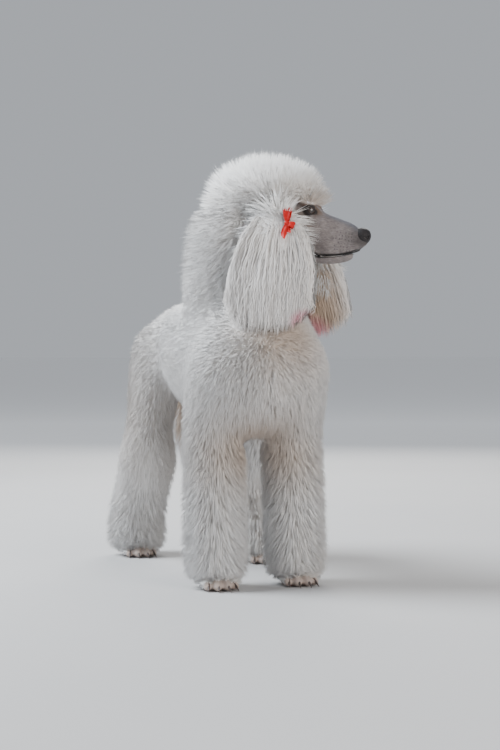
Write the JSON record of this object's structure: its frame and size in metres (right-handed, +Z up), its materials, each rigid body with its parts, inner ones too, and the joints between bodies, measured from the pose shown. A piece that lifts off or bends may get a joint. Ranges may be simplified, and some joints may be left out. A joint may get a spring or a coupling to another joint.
{
  "type": "standard poodle",
  "caption": "Life-size still model of a white standard poodle, standing with its head turned to its left, with a red ribbon bow at each ear.",
  "frame": {"origin": "point of the floor under the middle of the dog's box", "axes": "+Z up, the dog's chest faces -Y, its left side is +X"},
  "size_m": [0.4116, 0.8214, 0.8924],
  "materials": {
    "coat": "white curly hair, matt",
    "face_skin": "clipped grey-mauve skin, matt",
    "nose": "dark, moist",
    "eye": "dark brown, glossy",
    "toe_skin": "clipped skin, matt",
    "claw": "dark horn, satin",
    "ribbon": "red satin"
  },
  "bodies": {
    "root": {"eye_right": "eye", "bow_right": "ribbon", "ear_right": "coat", "eye_left": "eye", "bow_left": "ribbon", "ear_left": "coat", "nose": "nose", "head": "face_skin", "paw_fore_right": "toe_skin", "claw_fore_right_1": "claw", "claw_fore_right_2": "claw", "claw_fore_right_3": "claw", "claw_fore_right_4": "claw", "paw_fore_left": "toe_skin", "claw_fore_left_1": "claw", "claw_fore_left_2": "claw", "claw_fore_left_3": "claw", "claw_fore_left_4": "claw", "paw_hind_right": "toe_skin", "claw_hind_right_1": "claw", "claw_hind_right_2": "claw", "claw_hind_right_3": "claw", "claw_hind_right_4": "claw", "paw_hind_left": "toe_skin", "claw_hind_left_1": "claw", "claw_hind_left_2": "claw", "claw_hind_left_3": "claw", "claw_hind_left_4": "claw", "topknot": "coat", "neck": "coat", "tail": "coat", "chest": "coat", "barrel": "coat", "foreleg_right": "coat", "shank_right": "coat", "thigh_right": "coat", "foreleg_left": "coat", "shank_left": "coat", "thigh_left": "coat"}
  },
  "joints": []
}
